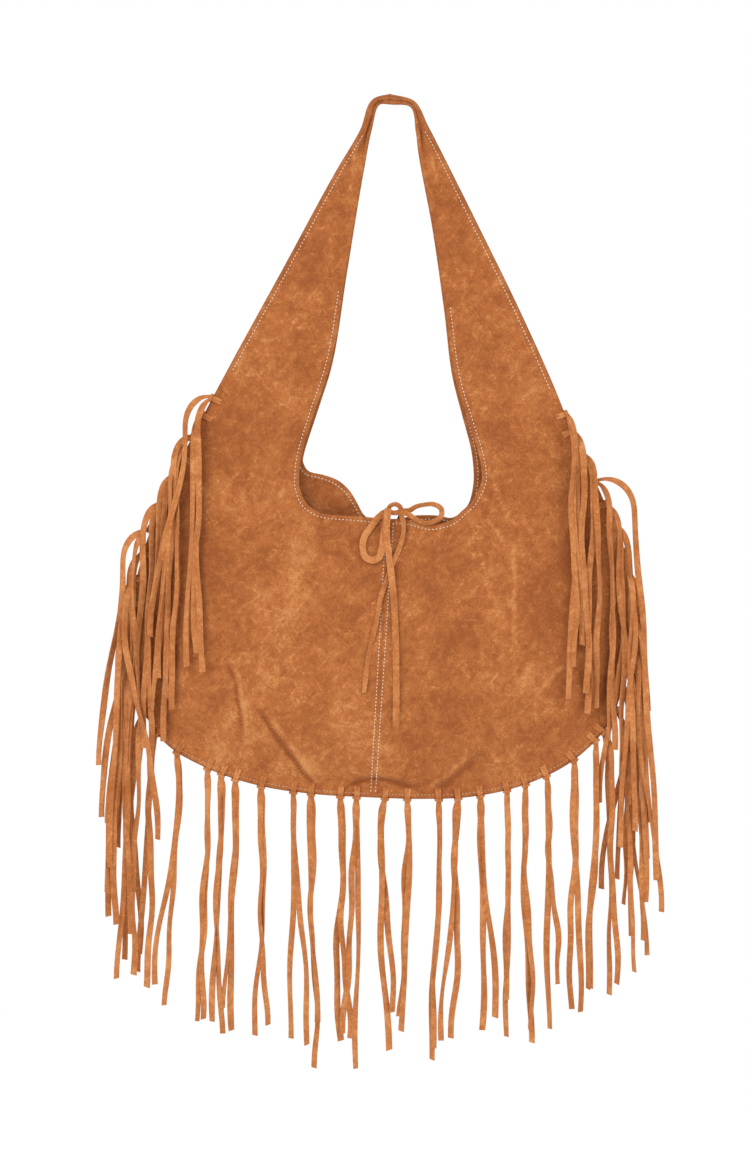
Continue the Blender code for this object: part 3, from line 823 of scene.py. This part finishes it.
# A flat strip of leather along a path, its wide way given at each point, its far end cut aslant
def band(path, wide, width, thick, slant=0.0):
    along = unit(np.gradient(path, axis=0))
    wide = unit(wide - along * (wide * along).sum(axis=1, keepdims=True))
    normal = np.cross(along, wide)
    width = np.broadcast_to(width, len(path))[:, None, None]
    thick = np.broadcast_to(thick, len(path))[:, None, None]
    across = bandSection[None, :, 0:1] * width
    rings = path[:, None, :] + wide[:, None, :] * across + normal[:, None, :] * bandSection[None, :, 1:2] * thick
    rings[-1] += along[-1] * across[-1] * slant
    count = len(path)
    ring = np.arange(count * 8).reshape(count, 8)
    quads = np.stack((ring[:-1], np.roll(ring[:-1], -1, 1), np.roll(ring[1:], -1, 1), ring[1:]), axis=-1)
    faces = quads.reshape(-1, 4).tolist() + [ring[0].tolist(), ring[-1].tolist()]
    return rings.reshape(-1, 3), faces


def joined(parts):
    points = []
    faces = []
    for partPoints, partFaces in parts:
        faces += [[k + len(points) for k in face] for face in partFaces]
        points += partPoints.tolist()
    return points, faces


fringe = {
    "width": 5.6,
    "thick": 1.25,
    "layer": 1.25,  # each lace up a side hangs this much further out than the one below
    "holeInset": 8.3,
    "sway": 1.9,
    "bottomSway": 2.6,
    "twist": 1.0,  # radians a tail turns each way as it hangs
    "springEnds": 0.16,  # share of its drop in which a tail springs out
    "samples": 66,
}
# Both tails of each lace: sideways drift (outward up the sides, to the right along the bottom),
# drop from the edge, and how far it springs out from its knot before it falls
leftTails = (
    ((13, 233, 12), (56, 220, 24)), ((-1, 235, 7), (13, 232, 9)), ((15, 249, 12), (31, 222, 16)),
    ((13, 221, 6), (26, 234, 10)), ((5, 242, 5), (27, 250, 12)), ((30, 238, 14), (10, 240, 8)),
    ((46, 216, 24), (10, 231, 14)), ((36, 242, 12), (12, 236, 9)), ((-23, 238, 8), (26, 226, 12)),
    ((20, 241, 9), (11, 226, 6)), ((18, 244, 9), (4, 236, 7)), ((12, 251, 8), (-3, 233, 5)),
    ((0, 238, 5), (20, 225, 8)), ((16, 259, 7), (-3, 239, 4)), ((11, 238, 6), (20, 227, 8)),
    ((7, 232, 5), (15, 220, 6)),
)
rightTails = (
    ((13, 213, 8), (6, 231, 6)), ((-6, 247, 6), (11, 240, 9)), ((2, 239, 8), (12, 232, 10)),
    ((48, 212, 34), (12, 237, 12)), ((6, 227, 7), (26, 232, 12)), ((28, 239, 14), (8, 233, 7)),
    ((-17, 238, 6), (9, 238, 9)), ((6, 242, 7), (22, 234, 11)), ((-10, 235, 6), (19, 245, 12)),
    ((26, 242, 12), (-11, 240, 6)), ((14, 240, 8), (-23, 227, 5)), ((29, 227, 11), (-3, 219, 5)),
    ((19, 234, 9), (9, 229, 6)), ((16, 241, 7), (29, 225, 10)), ((10, 232, 6), (7, 241, 5)),
)
bottomTails = (
    ((-12, 231, 2), (-18, 213, 2)), ((-9, 231, 0), (-5, 230, 1)), ((-10, 226, 1), (-1, 238, 0)),
    ((-6, 230, 0), (-9, 210, 1)), ((-5, 228, 1), (5, 219, 0)), ((-3, 226, -1), (15, 232, 2)),
    ((2, 251, 1), (7, 209, 0)), ((-3, 224, 0), (8, 222, 1)), ((0, 249, -1), (-11, 217, 0)),
    ((6, 196, -4), (5, 231, -3)), ((-8, 199, 0), (-4, 213, 2)), ((-7, 239, -1), (-3, 228, 1)),
    ((-6, 220, -2), (-13, 222, -3)), ((0, 215, 0), (16, 203, 1)), ((-1, 226, -1), (1, 192, 1)),
    ((2, 237, -2), (6, 224, 1)), ((2, 232, 0), (11, 190, 3)), ((-5, 229, 0), (5, 230, 1)),
    ((-7, 228, -1), (-5, 226, 1)),
)


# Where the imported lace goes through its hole: its corners that far in from the edge
def laceHole(node):
    corners = np.array([v.co[:] for v in bpy.data.objects[node].data.vertices]) / mm
    inset = edgeDistance(corners[:, 0], corners[:, 2])
    near = (np.abs(inset - fringe["holeInset"]) < 1.4) & (np.abs(corners[:, 1]) < 3.5)
    return corners[near].mean(axis=0)[[0, 2]]


def laceTail(hole, edge, out, side, tail, offset, way, stand, onFace, swayFull):
    drift, drop, spring = tail
    tangent = np.array((out[1], -out[0]))
    t = np.linspace(0, 1, fringe["samples"]) ** 1.45
    swing = draws.uniform(0.4, 1.3) * swayFull
    pace = draws.uniform(0.6, 1.4)
    phase = draws.uniform(0, math.tau)
    sway = swing * ease(t / 0.35) * np.sin(math.tau * pace * t + phase)
    sway += 0.3 * swayFull * ease(t / 0.2) * np.sin(math.tau * pace * 2.7 * t + 2 * phase)
    begin = edge + out * 1.8 + tangent * offset * 0.7
    sprung = spring * (1 - (1 - np.minimum(t / fringe["springEnds"], 1)) ** 3)
    later = (drift - spring) * ease((t - fringe["springEnds"]) / (1 - fringe["springEnds"]))
    x = begin[0] + side * (sprung + later) + sway
    lift = max(out[1], 0) * abs(spring) * 0.55 * (t / 0.045) * np.exp(1 - t / 0.045)
    z = begin[1] - drop * t + lift
    turn = draws.uniform(0.5, 1.1) * fringe["twist"]
    turning = turn * ease(t / 0.12) * np.sin(math.tau * draws.uniform(0.5, 1.3) * t + draws.uniform(0, math.tau))
    bulk = fringe["width"] / 2 * np.abs(np.sin(turning))
    proud = stand + 1.3 * ease(t / 0.3) * np.sin(math.tau * draws.uniform(0.6, 1.4) * t + draws.uniform(0, math.tau))
    inside = insideOutline(x, z)
    surface = faceHeight(x, z, "front") + bag["suede"]
    over = np.where(inside, surface + 0.9 + onFace + bulk * 0.9, 2.2)
    away = np.maximum(proud, over)
    away = np.convolve(np.pad(away, 3, mode="edge"), np.ones(7) / 7, mode="valid")
    away = 2.5 + (away - 2.5) * ease(t / 0.11)
    hanging = np.stack((x, way * away, z), axis=1)
    flat = bag["layerGap"] / 2 + bag["suede"] + 0.62
    runSteps = ((0.0, 0.2), (0.02, flat * 0.8), (0.25, flat), (0.6, flat), (0.92, flat))
    run = []
    for share, height in runSteps:
        spot = hole + (edge - hole) * share + tangent * offset * (1 - 0.2 * share)
        run.append((spot[0], -height, spot[1]))
    if way > 0:  # a tail that hangs behind crosses the edge under the bight
        spot = edge + out * 1.4 + tangent * offset * 0.7
        run.append((spot[0], 0.0, spot[1]))
    path = np.concatenate((np.array(run), hanging))
    plane = np.gradient(path, axis=0)
    inPlane = unit(np.stack((-plane[:, 2], 0 * plane[:, 0], plane[:, 0]), axis=1) + 1e-9)
    angle = np.concatenate((np.zeros(len(run)), turning))[:, None]
    wide = inPlane * np.cos(angle) + np.array((0.0, 1.0, 0.0)) * np.sin(angle)
    full = fringe["width"] * draws.uniform(0.88, 1.08)
    width = np.concatenate((np.full(len(run), 2.7), 2.9 + (full - 2.9) * ease(t / 0.05)))
    return band(path, wide, width, fringe["thick"], slant=draws.uniform(-0.35, 0.35))


# The loop of the lace's own middle, through the hole from behind and over both tails at the edge
def laceBight(hole, edge, out):
    tangent = np.array((out[1], -out[0]))
    back = bag["layerGap"] / 2 + bag["suede"] + 0.6
    reach = np.linalg.norm(edge - hole)
    lean = draws.uniform(-0.5, 0.5)
    steps = (
        (-1.2, -reach, 0.4), (-1.5, -reach + 1.2, back), (-2.0, -3.5, back), (-2.8, 0.6, back - 0.3),
        (-3.4, 1.8, 0.2), (-2.8, 2.2 + lean, -2.9), (-1.4, 2.4 + lean, -3.8), (0.0, 2.5, -4.0),
        (1.4, 2.4 - lean, -3.8), (2.8, 2.2 - lean, -2.9), (3.4, 1.8, 0.2), (2.8, 0.6, back - 0.3),
        (2.0, -3.5, back), (1.5, -reach + 1.2, back), (1.2, -reach, 0.4),
    )
    path = []
    wide = []
    for a, o, y in steps:
        spot = edge + tangent * a + out * o
        path.append((spot[0], y, spot[1]))
        turned = abs(a) if y < back - 0.1 else 0.0
        way = out if turned > 0 or abs(a) < 0.5 else tangent
        wide.append((way[0], 0.0, way[1]))
    path = np.array(path)
    wide = np.array(wide)
    steps = runLengths(path)
    fine = np.linspace(0, steps[-1], 34)
    path = smoothCurve(path, steps)[0](fine)
    wide = np.stack([np.interp(fine, steps, wide[:, k]) for k in range(3)], axis=1)
    return band(path, wide, 2.4, 1.1)


def makeLace(node, side, tails, layer, onFace, bothInFront, swayFull):
    hole = laceHole(node)
    nearest = outline[((outline - hole) ** 2).sum(axis=1).argmin()]
    out = unit(nearest - hole)
    stand = 2.6 + layer * fringe["layer"]
    parts = []
    for k, tail in enumerate(tails):
        way = -1 if k == 0 or bothInFront else 1
        high = stand + (1.3 if k and bothInFront else 0)
        parts.append(
            laceTail(hole, nearest, out, side, tail, (-1.5, 1.5)[k], way, high, onFace + k * 1.3, swayFull)
        )
    parts.append(laceBight(hole, nearest, out))
    points, faces = joined(parts)
    piece = meshPiece(node.replace("fringe", "lace"), points, faces, [laceSuede], smoothAngle=35)
    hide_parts(node)
    return piece


laces = {name: [] for name in panels}
overFace = {"left": 8, "right": 7}  # the topmost laces hang with both tails across the front
for sideName, side, allTails in (("left", -1, leftTails), ("right", 1, rightTails)):
    for k, tails in enumerate(allTails):
        count = len(allTails)
        over = k < overFace[sideName]
        layer = 1.0 * (overFace[sideName] - k) if over else count - k
        onFace = 1.0 * (overFace[sideName] - k) if over else 0.0
        lace = makeLace(f"fringe_{sideName}_{k + 1:02d}", side, tails, layer, onFace, over, fringe["sway"])
        laces["front_" + sideName].append(lace)
for k, tails in enumerate(bottomTails):
    lace = makeLace(f"fringe_bottom_{k + 1:02d}", 1, tails, 0.2, 0.0, True, fringe["bottomSway"])
    laces["front_left" if k < 9 else "front_right"].append(lace)
print("fringe done,", sum(len(some) for some in laces.values()), "laces")


tie = {"frontWidth": 6.2, "backWidth": 4.8, "thick": 1.05, "frontTwist": 0.35, "backTwist": 0.75}
inside = bag["mouthOpen"] / 2 - 1.0
# Each half of the bow: x and z from the middle of the mouth, and height off the front face. A
# fourth value is a y of its own, inside the bag.
frontTie = (
    (-3, -14, 0, -inside), (-3, -1, 0, -inside), (-4, 6, 1.4), (-10, 2, 2.4), (-18, -8, 2.6),
    (-23.5, -16.5, 3.0), (-25, -26.5, 3.4), (-22, -35.4, 3.8), (-16, -38, 4.2), (-10.3, -35.4, 4.4),
    (-7.4, -26.5, 4.2), (-5.8, -14.5, 4.4), (-4.2, -3, 5.0), (-2.6, 5, 5.6), (-1.6, 9.4, 7.2),
    (-2.2, 5, 9.0), (-3.0, -4, 8.6), (-3.3, -13, 6.8), (-1, -34, 4.6), (1.6, -55, 3.8),
    (4, -84, 3.2), (5, -112, 2.8), (5.6, -147, 2.6), (5.3, -191, 2.6),
)
backTie = (
    (9, -14, 0, inside - 2), (9, 0, 0, inside - 3), (10.5, 7.5, 0.4), (8.6, 11.8, 1.6), (4.5, 13.6, 2.2),
    (0.2, 12, 2.6), (-1.8, 8, 2.2), (3.5, 5.6, 1.6), (11, 7.2, 1.8), (18, 8, 1.8), (24, 11.4, 2.0),
    (32, 13.2, 2.6), (41, 13.2, 3.0), (47, 9, 3.4), (47, 3, 3.8), (41, -2, 4.2), (32, -3.6, 4.6),
    (23, 0, 4.8), (15, 5, 5.0), (11, 5, 4.4), (12.5, -4, 3.0), (12, -14, 1.6), (8.7, -26, 1.2),
    (3.7, -38, 1.0), (-3, -56, 0.9), (-8, -70, 1.0), (-12, -92, 1.0), (-19, -122, 1.2), (-24, -159, 1.4),
)


def makeTie(name, node, plan, width, twist, turns):
    rough = []
    for x, z, lift, *own in plan:
        spotX = np.array([float(x)])
        spotZ = np.array([z - hang])
        surface = faceHeight(spotX, spotZ, "front")[0] + bag["suede"]
        rough.append((x, lift if not own else -own[0] - surface, z - hang))
    curve, length = smoothCurve(rough)
    path = curve(np.linspace(0, length, int(length / 1.7)))
    surface = faceHeight(path[:, 0], path[:, 2], "front") + bag["suede"]
    path[:, 1] = -surface - path[:, 1] - 0.2
    t = np.linspace(0, 1, len(path))
    run = unit(np.gradient(path, axis=0))
    level = np.stack((-run[:, 2], 0 * t, run[:, 0]), axis=1)
    inPlane = np.hypot(run[:, 0], run[:, 2])
    wide = []
    last = np.array((1.0, 0.0, 0.0))
    for k in range(len(path)):
        if inPlane[k] > 0.6:
            turned = unit(level[k])
            last = turned if turned @ last > -0.2 else -turned
        wide.append(last)
    wide = np.array(wide)
    angle = twist * np.sin(math.tau * (turns * t + 0.2)) * ease(t / 0.1)
    wide = wide * np.cos(angle)[:, None] + np.array((0.0, 1.0, 0.0)) * np.sin(angle)[:, None]
    points, faces = band(path, wide, width, tie["thick"], slant=0.25)
    piece = meshPiece(name, points, faces, [laceSuede], smoothAngle=35)
    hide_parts(node)
    return piece


makeTie("front_tie_suede", "front_tie_lace", frontTie, tie["frontWidth"], tie["frontTwist"], 3.0)
makeTie("back_tie_suede", "back_tie_lace", backTie, tie["backWidth"], tie["backTwist"], 4.0)
print("bow tied")
